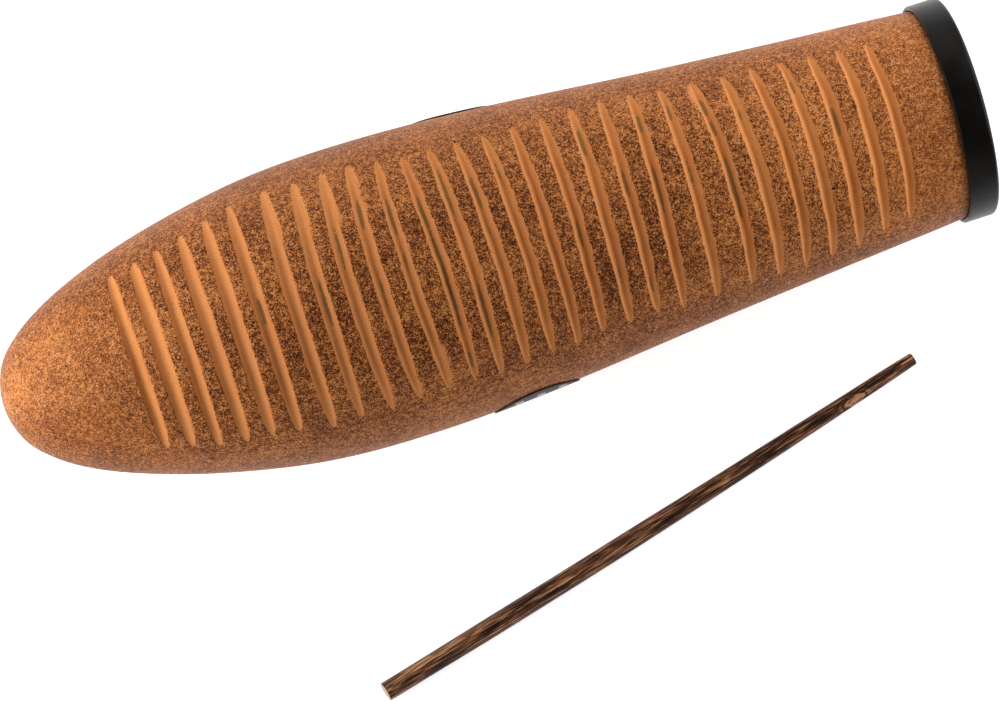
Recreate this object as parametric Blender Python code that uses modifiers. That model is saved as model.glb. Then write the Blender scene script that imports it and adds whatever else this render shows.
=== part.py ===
"""Guiro: a gourd-shaped ribbed shell with a rim ring, two side labels and a loose scraper.

Metres, +Z up. The instrument lies on its belly along +X, nose at -X and open mouth at +X,
with its grooves on top. The scraper lies beside it on the -Y side.
"""

import math

import bmesh
import bpy
from mathutils import Matrix

# ---- overall layout -------------------------------------------------------------------
NOSE = (-0.2033, 0.0486)        # X, Y of the shell's nose tip
BODY_LENGTH = 0.3916            # nose tip to the back face of the rim ring, along the axis
BELLY_BAND = (0.190, 0.213)     # the shell lies on this band, measured from the nose

# ---- shell ----------------------------------------------------------------------------
# (share of BODY_LENGTH from the nose, outer radius): the swell of the gourd shape
SWELL = (
    (0.008, 0.0138), (0.03, 0.0243), (0.09, 0.0382), (0.18, 0.0500), (0.30, 0.0590),
    (0.42, 0.0607), (0.55, 0.0581), (0.70, 0.0527), (0.85, 0.0478), (1.00, 0.0432),
)
WALL = 0.0032                   # moulded wall
SIDES = 48                      # flats round every turned piece of the body
ROWS = 25                       # rings of the outer skin
INNER_ROWS = 13                 # rings of the cavity

# ---- grooves --------------------------------------------------------------------------
GROOVE_START = 55.0             # first sawn groove, mm from the nose
GROOVE_GAPS = (                 # (how many, mm) from groove to groove, towards the mouth
    (2, 10.0), (3, 10.5), (1, 13.0), (3, 11.5), (1, 12.0), (1, 13.0), (4, 11.0), (3, 11.5),
    (1, 12.0), (1, 14.0), (1, 15.0), (2, 12.0), (4, 11.5),
)
GROOVE_DEPTH = 0.0021           # at the middle of a groove
GROOVE_RADIUS = 0.0028          # round-nosed cutter
GROOVE_SPAN = math.radians(53)  # from the middle to where the cut runs out
GROOVE_OFF_TOP = math.radians(-1.5)
GROOVE_LEAN = (math.radians(-1.5), math.radians(2.6))   # first and last groove

# ---- grip holes in the belly ----------------------------------------------------------
GRIP_RADIUS = 0.013
GRIP_STATIONS = (0.158, 0.250)

# ---- rim ring -------------------------------------------------------------------------
RING_WIDTH = 0.0126
RING_RADIUS = 0.0452
RING_SKEW = math.radians(1.9)   # the mouth is cut this far out of square
RING_FLANGE = 0.0030            # thickness of the end web over the shell's rim
RING_LIP = 0.0369               # radius of the ring's opening
GAP = 0.0003

# ---- labels ---------------------------------------------------------------------------
LABEL_STATION = 0.2045
LABEL_HALF = (0.0185, 0.0168)   # half length, half height
LABEL_DROP = 0.0037             # centre below the axis
LABEL_THICK = 0.0004

# ---- scraper --------------------------------------------------------------------------
SCRAPER_START = (-0.0954, -0.1055)   # X, Y under the thick end's middle
SCRAPER_TURN = math.radians(14.55)   # heading from +X
SCRAPER_LENGTH = 0.2574
SCRAPER_PROFILE = (             # (share of the length, radius)
    (0.0, 0.0041), (0.35, 0.0042), (0.60, 0.0038), (0.80, 0.0033), (1.0, 0.0026),
)
SCRAPER_CHAMFER = 0.0005
SCRAPER_SIDES = 16


def clear_scene():
    for obj in list(bpy.data.objects):
        bpy.data.objects.remove(obj, do_unlink=True)


def new_collection(name):
    collection = bpy.data.collections.new(name)
    bpy.context.scene.collection.children.link(collection)
    return collection


def material(name, colour, roughness, metallic=0.0):
    mat = bpy.data.materials.new(name)
    mat.use_nodes = True
    shader = mat.node_tree.nodes["Principled BSDF"]
    shader.inputs["Base Color"].default_value = (*colour, 1.0)
    shader.inputs["Roughness"].default_value = roughness
    shader.inputs["Metallic"].default_value = metallic
    return mat


def hermite(knots, x):
    """Value at x of a smooth curve through the knots (x, y)."""
    count = len(knots)
    slopes = []
    for i in range(count):
        low, high = knots[max(i - 1, 0)], knots[min(i + 1, count - 1)]
        slopes.append((high[1] - low[1]) / (high[0] - low[0]))
    i = min(max(sum(x > k[0] for k in knots) - 1, 0), count - 2)
    (x0, y0), (x1, y1) = knots[i], knots[i + 1]
    span = x1 - x0
    u = max((x - x0) / span, 0.0)
    return (
        (2 * u**3 - 3 * u**2 + 1) * y0
        + (u**3 - 2 * u**2 + u) * span * slopes[i]
        + (-2 * u**3 + 3 * u**2) * y1
        + (u**3 - u**2) * span * slopes[i + 1]
    )


def gourd_radius(station):
    """Outer radius of the shell at a distance from the nose: round-nosed, swelling, tapering."""
    share = max(station / BODY_LENGTH, 0.0)
    fullness = tuple((s, r / math.sqrt(s)) for s, r in SWELL)
    if share > 1.0:             # the stub under the rim ring carries the end slope on
        slope = (gourd_radius(BODY_LENGTH) - gourd_radius(0.99 * BODY_LENGTH)) / (0.01 * BODY_LENGTH)
        return gourd_radius(BODY_LENGTH) + slope * (station - BODY_LENGTH)
    return math.sqrt(share) * hermite(fullness, share)


def skin_stations():
    """Ring positions of the outer skin, closer together towards the nose, with one belly band."""
    even = [BODY_LENGTH * (i / ROWS) ** 1.35 for i in range(ROWS + 1)]
    low, high = BELLY_BAND
    clear = [s for s in even if not low - 0.007 < s < high + 0.007]
    return sorted([*clear, low, high])


def lying_tilt(facet, sides):
    """Nose-up angle that lays the flat between two rings on the floor, and the axis height."""
    (s0, r0), (s1, r1) = facet
    flat = math.cos(math.pi / sides)
    tilt = math.atan((r0 - r1) * flat / (s1 - s0))
    return tilt, s0 * math.sin(tilt) + r0 * flat * math.cos(tilt)


def polyline(name, points):
    """Mesh object holding one open profile in its XZ plane."""
    bm = bmesh.new()
    verts = [bm.verts.new((x, 0.0, z)) for x, z in points]
    for a, b in zip(verts, verts[1:]):
        bm.edges.new((a, b))
    mesh = bpy.data.meshes.new(name)
    bm.to_mesh(mesh)
    bm.free()
    return bpy.data.objects.new(name, mesh)


def add_screw(obj, sides):
    screw = obj.modifiers.new("Turn", "SCREW")
    screw.steps = screw.render_steps = sides
    screw.use_merge_vertices = True
    screw.merge_threshold = 0.00001
    screw.use_smooth_shade = True


def close_profile(obj):
    """Joins the last point of a profile back to its first."""
    bm = bmesh.new()
    bm.from_mesh(obj.data)
    bm.verts.ensure_lookup_table()
    bm.edges.new((bm.verts[len(bm.verts) - 1], bm.verts[0]))
    bm.to_mesh(obj.data)
    bm.free()


def place(obj, parent, collection, matrix, mat=None):
    """Puts the object in a collection, under a parent, at a place in the parent's frame."""
    collection.objects.link(obj)
    obj.parent = parent
    obj.matrix_local = matrix
    if mat:
        obj.data.materials.append(mat)
    return obj


def half_step(sides):
    return Matrix.Rotation(math.pi / sides, 4, "Z")


def cut(target, cutter, operation="DIFFERENCE"):
    boolean = target.modifiers.new(cutter.name, "BOOLEAN")
    boolean.operation = operation
    boolean.solver = "EXACT"
    boolean.object = cutter


def as_cutter(obj):
    obj.hide_render = True
    obj.display_type = "WIRE"
    return obj


def mesh_object(name, bm):
    bmesh.ops.recalc_face_normals(bm, faces=bm.faces[:])
    mesh = bpy.data.meshes.new(name)
    bm.to_mesh(mesh)
    bm.free()
    return bpy.data.objects.new(name, mesh)


def shell_profile():
    """Cavity pole, up the cavity wall to the rim, over it, and down the skin to the nose."""
    top = BODY_LENGTH + RING_WIDTH + 0.002
    inner_top = gourd_radius(top) - WALL
    inner = [(0.0, WALL * 1.1)]
    for i in range(1, INNER_ROWS):
        station = WALL * 1.1 + (BODY_LENGTH - WALL) * (i / INNER_ROWS) ** 1.25
        inner.append((gourd_radius(station) - WALL * 1.08, station))
    inner.append((inner_top, top))
    outer = [(gourd_radius(s), s) for s in [*skin_stations()[1:], top]]
    return inner + outer[::-1] + [(0.0, 0.0)]


def groove_stations():
    """Distance of each groove from the nose, mm."""
    stations = [GROOVE_START]
    for count, gap in GROOVE_GAPS:
        for _ in range(count):
            stations.append(stations[-1] + gap)
    return stations


def groove_cutters(name):
    """Round-nosed cuts across the top, each an arc that runs out of the skin at both ends."""
    bm = bmesh.new()
    stations = groove_stations()
    first, last = stations[0], stations[-1]
    reach = GROOVE_SPAN + math.radians(7)
    for station_mm in stations:
        along = (station_mm - first) / (last - first)
        station = station_mm / 1000
        skin = gourd_radius(station)
        drop = GROOVE_DEPTH / (1 - math.cos(GROOVE_SPAN))
        sweep = skin - GROOVE_DEPTH + drop + GROOVE_RADIUS
        lean = GROOVE_LEAN[0] + along * (GROOVE_LEAN[1] - GROOVE_LEAN[0])
        off_top = GROOVE_OFF_TOP - math.radians(5) * max(0.0, along - 0.72) / 0.28
        section = bmesh.ops.create_circle(bm, cap_ends=True, segments=8, radius=GROOVE_RADIUS)
        verts = section["verts"]
        # the section stands in a plane through the body axis, at the start of its sweep
        stand = (
            Matrix.Rotation(math.pi - reach, 4, "Z")
            @ Matrix.Translation((sweep, 0, 0))
            @ Matrix.Rotation(math.pi / 2, 4, "X")
            @ Matrix.Rotation(math.pi / 8, 4, "Z")
        )
        bmesh.ops.transform(bm, matrix=stand, verts=verts)
        faces = {f for v in verts for f in v.link_faces}
        edges = {e for v in verts for e in v.link_edges}
        before = set(bm.verts) - set(verts)
        bmesh.ops.spin(
            bm, geom=[*verts, *edges, *faces], cent=(0, 0, 0), axis=(0, 0, 1),
            angle=2 * reach, steps=14, use_duplicate=False,
        )
        arc = [v for v in bm.verts if v not in before]
        seat = (
            Matrix.Translation((0, 0, station))
            @ Matrix.Rotation(-off_top, 4, "Z")
            @ Matrix.Rotation(lean, 4, "X")
            @ Matrix.Translation((drop, 0, 0))
        )
        bmesh.ops.transform(bm, matrix=seat, verts=arc)
    return as_cutter(mesh_object(name, bm))


def grip_cutters(name):
    """Two round finger holes through the belly wall."""
    bm = bmesh.new()
    for station in GRIP_STATIONS:
        # the belly is the body frame's +X side
        seat = Matrix.Translation((gourd_radius(station), 0, station)) @ Matrix.Rotation(math.pi / 2, 4, "Y")
        bmesh.ops.create_cone(
            bm, cap_ends=True, segments=20, radius1=GRIP_RADIUS, radius2=GRIP_RADIUS,
            depth=0.024, matrix=seat,
        )
    return as_cutter(mesh_object(name, bm))


def mouth_cutter(name):
    """Block that trims the shell's end to the skewed seat inside the rim ring."""
    bm = bmesh.new()
    bmesh.ops.create_cube(bm, size=1.0, matrix=Matrix.Diagonal((0.12, 0.12, 0.02, 1.0)))
    seat = RING_WIDTH - RING_FLANGE - GAP
    bmesh.ops.translate(bm, vec=(0, 0, seat + 0.01), verts=bm.verts[:])
    return as_cutter(mesh_object(name, bm))


def fillet(corner, before, after, radius, points=3):
    """Points of a rounded corner between two directions of a profile."""
    result = []
    for i in range(points + 1):
        angle = math.pi / 2 * i / points
        x = corner[0] + radius * (before[0] * (1 - math.sin(angle)) + after[0] * (1 - math.cos(angle)))
        z = corner[1] + radius * (before[1] * (1 - math.sin(angle)) + after[1] * (1 - math.cos(angle)))
        result.append((x, z))
    return result


def ring_profile():
    """Outer skirt, end web and inner skirt, a U that slips over the shell's rim."""
    web = RING_WIDTH - RING_FLANGE
    over = gourd_radius(BODY_LENGTH) + 0.0005
    over_end = gourd_radius(BODY_LENGTH + web) + 0.0007
    inside = gourd_radius(BODY_LENGTH + web) - WALL * 1.08 - 0.0009
    points = [(RING_LIP, 0.0038), *fillet((RING_LIP, RING_WIDTH), (0, -1), (1, 0), 0.0008, 2)]
    points += fillet((RING_RADIUS, RING_WIDTH), (-1, 0), (0, -1), 0.0013, 3)
    points += fillet((RING_RADIUS, 0.0), (0, 1), (-1, 0), 0.0007, 2)
    points += [(over, 0.0), (over_end, web), (inside, web), (inside, 0.0038)]
    return points


def label_profile():
    """Thin band just outside the skin, following the same flats."""
    reach = LABEL_HALF[0] + 0.006
    low, high = LABEL_STATION - reach, LABEL_STATION + reach
    stations = [low, *[s for s in skin_stations() if low < s < high], high]
    rows = skin_stations()

    def skin(station):
        k = min(max(i for i, s in enumerate(rows) if s <= station), len(rows) - 2)
        part = (station - rows[k]) / (rows[k + 1] - rows[k])
        return gourd_radius(rows[k]) * (1 - part) + gourd_radius(rows[k + 1]) * part

    inner = [(skin(s) + GAP, s) for s in stations]
    outer = [(skin(s) + GAP + LABEL_THICK, s) for s in stations]
    return inner + outer[::-1]


def label_cutter(name, side):
    """Oval punch that stamps one label out of the band. side is +1 for +Y, -1 for -Y."""
    bm = bmesh.new()
    bmesh.ops.create_cone(bm, cap_ends=True, segments=32, radius1=1.0, radius2=1.0, depth=0.07)
    size = Matrix.Diagonal((LABEL_HALF[1], LABEL_HALF[0], 1.0, 1.0))
    aim = Matrix.Rotation(math.pi / 2, 4, "X")
    seat = Matrix.Translation((LABEL_DROP, side * 0.065, LABEL_STATION))
    bmesh.ops.transform(bm, matrix=seat @ aim @ size, verts=bm.verts[:])
    return as_cutter(mesh_object(name, bm))


def scraper_profile():
    """From the tip down to the thick end, with a small chamfer on both."""
    c = SCRAPER_CHAMFER
    (_, thick), (_, thin) = SCRAPER_PROFILE[0], SCRAPER_PROFILE[-1]
    points = [(0.0, SCRAPER_LENGTH), (thin - c, SCRAPER_LENGTH), (thin, SCRAPER_LENGTH - c)]
    points += [(r, s * SCRAPER_LENGTH) for s, r in SCRAPER_PROFILE[-2:0:-1]]
    return points + [(thick, c), (thick - c, 0.0), (0.0, 0.0)]


def build():
    clear_scene()
    parts = new_collection("guiro")
    cutters = new_collection("cutters")

    speckled = material("speckled gel coat", (0.33, 0.11, 0.035), 0.45)
    black = material("black plastic", (0.008, 0.007, 0.006), 0.4)
    print_left = material("label print left", (0.06, 0.05, 0.05), 0.45)
    print_right = material("label print right", (0.06, 0.05, 0.05), 0.45)
    palm = material("dark palm wood", (0.07, 0.028, 0.014), 0.45)

    # Body frame: +Z runs from the nose to the mouth, +X faces the floor, +Y is world +Y.
    tilt, height = lying_tilt([(s, gourd_radius(s)) for s in BELLY_BAND], SIDES)
    body = bpy.data.objects.new("body_frame", None)
    parts.objects.link(body)
    body.matrix_world = (
        Matrix.Translation((NOSE[0], NOSE[1], height)) @ Matrix.Rotation(math.pi / 2 + tilt, 4, "Y")
    )
    flats_down = half_step(SIDES)

    shell = polyline("shell", shell_profile())
    add_screw(shell, SIDES)
    place(shell, body, parts, flats_down, speckled)

    mouth_seat = Matrix.Translation((0, 0, BODY_LENGTH)) @ Matrix.Rotation(RING_SKEW, 4, "X")
    trim = place(mouth_cutter("mouth_trim"), body, cutters, mouth_seat)
    grooves = place(groove_cutters("groove_cuts"), body, cutters, Matrix())
    grips = place(grip_cutters("grip_cuts"), body, cutters, Matrix())
    for cutter in (trim, grooves, grips):
        cut(shell, cutter)

    ring = polyline("rim_ring", ring_profile())
    close_profile(ring)
    add_screw(ring, SIDES)
    place(ring, body, parts, mouth_seat @ flats_down, black)

    for name, side, mat in (("label_left", 1, print_left), ("label_right", -1, print_right)):
        label = polyline(name, label_profile())
        close_profile(label)
        add_screw(label, SIDES)
        place(label, body, parts, flats_down, mat)
        punch = place(label_cutter(name + "_punch", side), body, cutters, Matrix())
        cut(label, punch, "INTERSECT")

    belly = [(s * SCRAPER_LENGTH, r) for s, r in SCRAPER_PROFILE[1:3]]
    lean, rod_height = lying_tilt(belly, SCRAPER_SIDES)
    scraper = polyline("scraper", scraper_profile())
    add_screw(scraper, SCRAPER_SIDES)
    rod_seat = (
        Matrix.Translation((SCRAPER_START[0], SCRAPER_START[1], rod_height))
        @ Matrix.Rotation(SCRAPER_TURN, 4, "Z")
        @ Matrix.Rotation(math.pi / 2 + lean, 4, "Y")
        @ half_step(SCRAPER_SIDES)
    )
    place(scraper, None, parts, rod_seat, palm)


build()
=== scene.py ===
"""Guiro: a speckled, grooved gourd shell with its rim ring, side labels and palm-wood scraper.

The instrument lies on its belly with the grooves on top, its nose at -X and its open mouth at +X.
The scraper lies on the floor on the -Y side. Everything is in metres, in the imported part's frame.
"""

import logging
import math
import random
from dataclasses import dataclass
from enum import Enum

import bmesh
import bpy
import numpy as np
from mathutils import Matrix, Vector

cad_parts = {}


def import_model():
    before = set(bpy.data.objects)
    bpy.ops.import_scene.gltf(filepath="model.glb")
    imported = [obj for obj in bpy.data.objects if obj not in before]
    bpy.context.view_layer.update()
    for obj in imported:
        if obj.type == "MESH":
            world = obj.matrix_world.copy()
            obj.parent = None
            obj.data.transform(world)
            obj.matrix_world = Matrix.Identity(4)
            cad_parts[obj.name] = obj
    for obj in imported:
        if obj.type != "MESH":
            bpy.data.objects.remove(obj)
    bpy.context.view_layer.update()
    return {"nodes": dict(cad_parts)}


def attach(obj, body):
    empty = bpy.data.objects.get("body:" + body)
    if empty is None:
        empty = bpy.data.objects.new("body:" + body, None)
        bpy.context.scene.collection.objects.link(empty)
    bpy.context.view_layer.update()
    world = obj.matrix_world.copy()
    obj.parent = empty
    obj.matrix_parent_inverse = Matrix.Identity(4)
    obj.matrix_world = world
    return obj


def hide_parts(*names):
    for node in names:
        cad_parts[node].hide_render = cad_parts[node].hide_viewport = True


LOG = logging.getLogger("guiro")
MM = 0.001
Triple = tuple[float, float, float]
Colour = Triple
Pair = tuple[float, float]
Knots = tuple[Pair, ...]
Socket = bpy.types.NodeSocket


class Body(Enum):
    """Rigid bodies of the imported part."""

    GUIRO = "guiro"
    SCRAPER = "scraper"


def srgb(red: float, green: float, blue: float) -> Colour:
    """Linear colour of an sRGB colour.

    Args:
        red: Red, 0 to 255.
        green: Green, 0 to 255.
        blue: Blue, 0 to 255.

    Returns:
        The three linear channels, 0 to 1.
    """

    def channel(value: float) -> float:
        """One linear channel."""
        share = value / 255
        return share / 12.92 if share <= 0.04045 else ((share + 0.055) / 1.055) ** 2.4

    return channel(red), channel(green), channel(blue)


def smoothstep(low: float, high: float, x: np.ndarray) -> np.ndarray:
    """Smooth rise from 0 at low to 1 at high."""
    t = np.clip((x - low) / (high - low), 0.0, 1.0)
    return t * t * (3 - 2 * t)


# ---- Material building ----


class NodeSheet:
    """Short hand for laying out the nodes of one material."""

    def __init__(self, name: str) -> None:
        """Starts a material with a bare Principled shader.

        Args:
            name: The finish's name.
        """
        self.material = bpy.data.materials.new(name)
        self.material.use_nodes = True
        self.tree = self.material.node_tree
        self.shader = self.tree.nodes["Principled BSDF"]
        self.coords = self.tree.nodes.new("ShaderNodeTexCoord").outputs["Object"]

    def link(self, source: Socket, target: Socket) -> None:
        """Joins an output to an input."""
        self.tree.links.new(source, target)

    def feed(self, target: Socket, value: object) -> None:
        """Sets an input to a number or colour, or joins it to an output.

        Args:
            target: The input socket.
            value: A socket, a number, or a colour or vector of three numbers.
        """
        if isinstance(value, Socket):
            self.link(value, target)
        elif isinstance(value, tuple) and len(target.default_value) == 4:
            target.default_value = (*value, 1.0)
        else:
            target.default_value = value

    def attribute(self, name: str, vector: bool = False) -> Socket:
        """Reads a mesh attribute.

        Args:
            name: The attribute's name.
            vector: True for its three numbers, False for one.

        Returns:
            The output socket.
        """
        node = self.tree.nodes.new("ShaderNodeAttribute")
        node.attribute_name = name
        return node.outputs["Vector" if vector else "Fac"]

    def stretched(self, coords: Socket, scale: Triple, turn: float = 0.0) -> Socket:
        """Scales and turns a pattern's coordinates.

        Args:
            coords: The coordinates to change.
            scale: Factors along X, Y and Z.
            turn: Angle about Z, in radians.

        Returns:
            The changed coordinates.
        """
        node = self.tree.nodes.new("ShaderNodeMapping")
        node.inputs["Scale"].default_value = scale
        node.inputs["Rotation"].default_value = (0.0, 0.0, turn)
        self.link(coords, node.inputs["Vector"])
        return node.outputs["Vector"]

    def noise(
        self,
        scale: float,
        detail: float = 2.0,
        roughness: float = 0.5,
        coords: Socket | None = None,
        distortion: float = 0.0,
    ) -> Socket:
        """Fractal noise, about 0.5 on average.

        Args:
            scale: Features in a metre.
            detail: Octaves added.
            roughness: Strength of the finer octaves.
            coords: Where it is read. None is the object's own coordinates.
            distortion: How far the pattern is warped.

        Returns:
            The noise value.
        """
        node = self.tree.nodes.new("ShaderNodeTexNoise")
        names = ("Scale", "Detail", "Roughness", "Distortion")
        for name, number in zip(names, (scale, detail, roughness, distortion)):
            node.inputs[name].default_value = number
        self.link(coords or self.coords, node.inputs["Vector"])
        return node.outputs["Fac"]

    def math(self, kind: str, *values: object, clamp: bool = False) -> Socket:
        """One arithmetic step.

        Args:
            kind: The Math node's operation.
            values: Its inputs, sockets or numbers.
            clamp: True keeps the result between 0 and 1.

        Returns:
            The result.
        """
        node = self.tree.nodes.new("ShaderNodeMath")
        node.operation = kind
        node.use_clamp = clamp
        for socket, value in zip(node.inputs, values):
            self.feed(socket, value)
        return node.outputs["Value"]

    def times(self, *values: object) -> Socket:
        """The product of two values."""
        return self.math("MULTIPLY", *values)

    def plus(self, *values: object, clamp: bool = False) -> Socket:
        """The sum of two values, kept between 0 and 1 if clamp is true."""
        return self.math("ADD", *values, clamp=clamp)

    def centred(self, noise: Socket, width: float) -> Socket:
        """Noise moved to lie about 0 and scaled to a width."""
        return self.times(self.math("SUBTRACT", noise, 0.5), width)

    def axes(self, vector: Socket) -> tuple[Socket, Socket, Socket]:
        """Takes a vector apart.

        Args:
            vector: The vector.

        Returns:
            Its X, Y and Z.
        """
        parts = self.tree.nodes.new("ShaderNodeSeparateXYZ")
        self.link(vector, parts.inputs[0])
        return tuple(parts.outputs)

    def remap(
        self,
        value: Socket,
        low: float,
        high: float,
        out_low: float = 0.0,
        out_high: float = 1.0,
    ) -> Socket:
        """Smoothly maps a range of values to another, clamped at both ends.

        Args:
            value: The value to map.
            low: Where the result is out_low.
            high: Where the result is out_high.
            out_low: The result at low.
            out_high: The result at high.

        Returns:
            The mapped value.
        """
        node = self.tree.nodes.new("ShaderNodeMapRange")
        node.interpolation_type = "SMOOTHSTEP"
        self.link(value, node.inputs["Value"])
        names = ("From Min", "From Max", "To Min", "To Max")
        for name, number in zip(names, (low, high, out_low, out_high)):
            node.inputs[name].default_value = number
        return node.outputs["Result"]

    def mix(self, share: object, first: object, second: object) -> Socket:
        """Blends two colours.

        Args:
            share: How much of the second, a socket or a number.
            first: The first colour.
            second: The second colour.

        Returns:
            The blended colour.
        """
        node = self.tree.nodes.new("ShaderNodeMix")
        node.data_type = "RGBA"
        self.feed(node.inputs[0], share)
        self.feed(node.inputs[6], first)
        self.feed(node.inputs[7], second)
        return node.outputs[2]

    def ramp(self, value: Socket, stops: list[tuple[float, Colour]]) -> Socket:
        """Turns a value into a colour.

        Args:
            value: The value, 0 to 1.
            stops: Places and their colours.

        Returns:
            The colour.
        """
        node = self.tree.nodes.new("ShaderNodeValToRGB")
        elements = node.color_ramp.elements
        for place, colour in stops[1:-1]:
            elements.new(place).color = (*colour, 1.0)
        ends = sorted(elements, key=lambda e: e.position)
        ends[0].position, ends[0].color = stops[0][0], (*stops[0][1], 1.0)
        ends[-1].position, ends[-1].color = stops[-1][0], (*stops[-1][1], 1.0)
        self.link(value, node.inputs["Fac"])
        return node.outputs["Color"]

    def bump(self, height: Socket, depth: float, strength: float = 1.0) -> None:
        """Gives the shader a relief.

        Args:
            height: The relief, 0 to 1.
            depth: Its real height in metres.
            strength: Share of the relief that shows.
        """
        node = self.tree.nodes.new("ShaderNodeBump")
        node.inputs["Distance"].default_value = depth
        node.inputs["Strength"].default_value = strength
        self.link(height, node.inputs["Height"])
        self.link(node.outputs["Normal"], self.shader.inputs["Normal"])

    def finish(self, colour: object, roughness: object, specular: float = 0.5) -> bpy.types.Material:
        """Joins up the shader.

        Args:
            colour: Base colour, a socket or a colour.
            roughness: A socket or a number.
            specular: Reflection at normal sight.

        Returns:
            The material.
        """
        self.feed(self.shader.inputs["Base Color"], colour)
        self.feed(self.shader.inputs["Roughness"], roughness)
        self.shader.inputs["Specular IOR Level"].default_value = specular
        return self.material


@dataclass(frozen=True)
class SpeckledGelCoat:
    """Orange-tan gel coat under sprayed dark brown speckle, bare where the grooves are cut."""

    light: Colour = srgb(212, 138, 70)
    rosy: Colour = srgb(206, 138, 98)
    middle: Colour = srgb(140, 79, 38)
    dark: Colour = srgb(56, 29, 18)
    # the bare cut in two copies: lit, and darker orange with painted shade
    cut_lit: Colour = srgb(212, 139, 79)
    cut_shaded: Colour = srgb(188, 108, 46)
    laminate: Colour = srgb(138, 103, 57)
    grains: float = 1600.0

    def build(self) -> bpy.types.Material:
        """Makes the material.

        Returns:
            The material, for a mesh with the attributes cut, floor (painted shade in the cuts), slit, the
            painted light and shade over the shell, and dense.
        """
        sheet = NodeSheet("speckled gel coat")
        fine = sheet.noise(self.grains, 2.0, 0.7, distortion=0.5)
        coarse = sheet.noise(self.grains * 0.33, 2.0, 0.6)
        blotch = sheet.noise(42.0, 4.0, 0.62)
        cut = sheet.attribute("cut")
        painted_shading = sheet.attribute("painted_shading")

        speck = sheet.plus(sheet.times(fine, 0.72), sheet.times(coarse, 0.28))
        drift = sheet.centred(blotch, 0.16)
        # painted light and shade over the shell shifts the speckle lighter or darker
        level = sheet.plus(sheet.plus(speck, drift), sheet.times(painted_shading, 0.05))
        dense = sheet.attribute("dense")
        gain = sheet.math("MULTIPLY_ADD", dense, 1.8, 3.4)
        grain = sheet.math("MULTIPLY_ADD", sheet.math("SUBTRACT", level, 0.5), gain, 0.5)
        coat = sheet.ramp(
            sheet.math("MULTIPLY_ADD", dense, -0.03, grain, clamp=True),
            [(0.0, self.dark), (0.5, self.middle), (1.0, self.light)],
        )
        patchy = sheet.noise(self.grains * 0.5, 1.0, 0.5)
        bright = sheet.remap(level, 0.50, 0.66)
        rosy = sheet.times(bright, sheet.remap(patchy, 0.45, 0.60, 0.0, 0.5))
        coat = sheet.mix(rosy, coat, self.rosy)

        # the bare cut: painted light and shade, mixed from a lit copy and a shaded darker orange copy by
        # the floor attribute
        floor = sheet.attribute("floor")
        along = sheet.noise(150.0, 3.0, 0.6, sheet.stretched(sheet.coords, (3.0, 0.5, 1.0)))
        groove_shade = sheet.times(floor, sheet.remap(along, 0.3, 0.7, 0.5, 1.0))
        bare = sheet.mix(groove_shade, self.cut_lit, self.cut_shaded)
        dust = sheet.remap(sheet.noise(1500.0, 1.0, 0.5), 0.30, 0.42, 0.30, 0.0)
        bare = sheet.mix(dust, bare, self.middle)
        slit = sheet.attribute("slit")
        frayed = sheet.plus(slit, sheet.centred(coarse, 0.5))
        bare = sheet.mix(sheet.remap(frayed, 0.34, 0.50, 0.0, 0.95), bare, self.laminate)

        ragged = sheet.plus(cut, sheet.centred(fine, 0.55))
        mask = sheet.remap(ragged, 0.06, 0.16)
        colour = sheet.mix(mask, coat, bare)
        rough = sheet.remap(speck, 0.35, 0.65, 0.56, 0.46)
        sheet.bump(speck, 0.00012, 0.5)
        return sheet.finish(colour, rough, 0.08)


@dataclass(frozen=True)
class RawLaminate:
    """Unpainted glass-fibre laminate: the cavity wall and the edges of the grip holes."""

    pale: Colour = srgb(176, 140, 84)
    dark: Colour = srgb(104, 78, 44)

    def build(self) -> bpy.types.Material:
        """Makes the material.

        Returns:
            The material.
        """
        sheet = NodeSheet("raw laminate")
        mat = sheet.noise(260.0, 5.0, 0.65, distortion=1.2)
        strands = sheet.noise(90.0, 3.0, 0.7, sheet.stretched(sheet.coords, (6.0, 1.0, 1.0), 0.6))
        mixed = sheet.plus(sheet.times(mat, 0.6), sheet.times(strands, 0.4))
        colour = sheet.ramp(sheet.remap(mixed, 0.32, 0.68), [(0.0, self.dark), (1.0, self.pale)])
        sheet.bump(mixed, 0.0008, 0.8)
        return sheet.finish(colour, sheet.remap(mat, 0.3, 0.7, 0.7, 0.45))


@dataclass(frozen=True)
class BlackPlastic:
    """Satin black moulded plastic with a faint grain."""

    colour: Colour = srgb(12, 10, 8)

    def build(self) -> bpy.types.Material:
        """Makes the material.

        Returns:
            The material.
        """
        sheet = NodeSheet("satin black plastic")
        grain = sheet.noise(1900.0, 2.0, 0.5)
        wear = sheet.noise(70.0, 4.0, 0.6)
        colour = sheet.mix(sheet.remap(wear, 0.35, 0.75, 0.0, 0.35), self.colour, srgb(24, 20, 17))
        sheet.bump(grain, 0.00005, 0.35)
        return sheet.finish(colour, sheet.remap(wear, 0.3, 0.7, 0.26, 0.36), 0.12)


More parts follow.
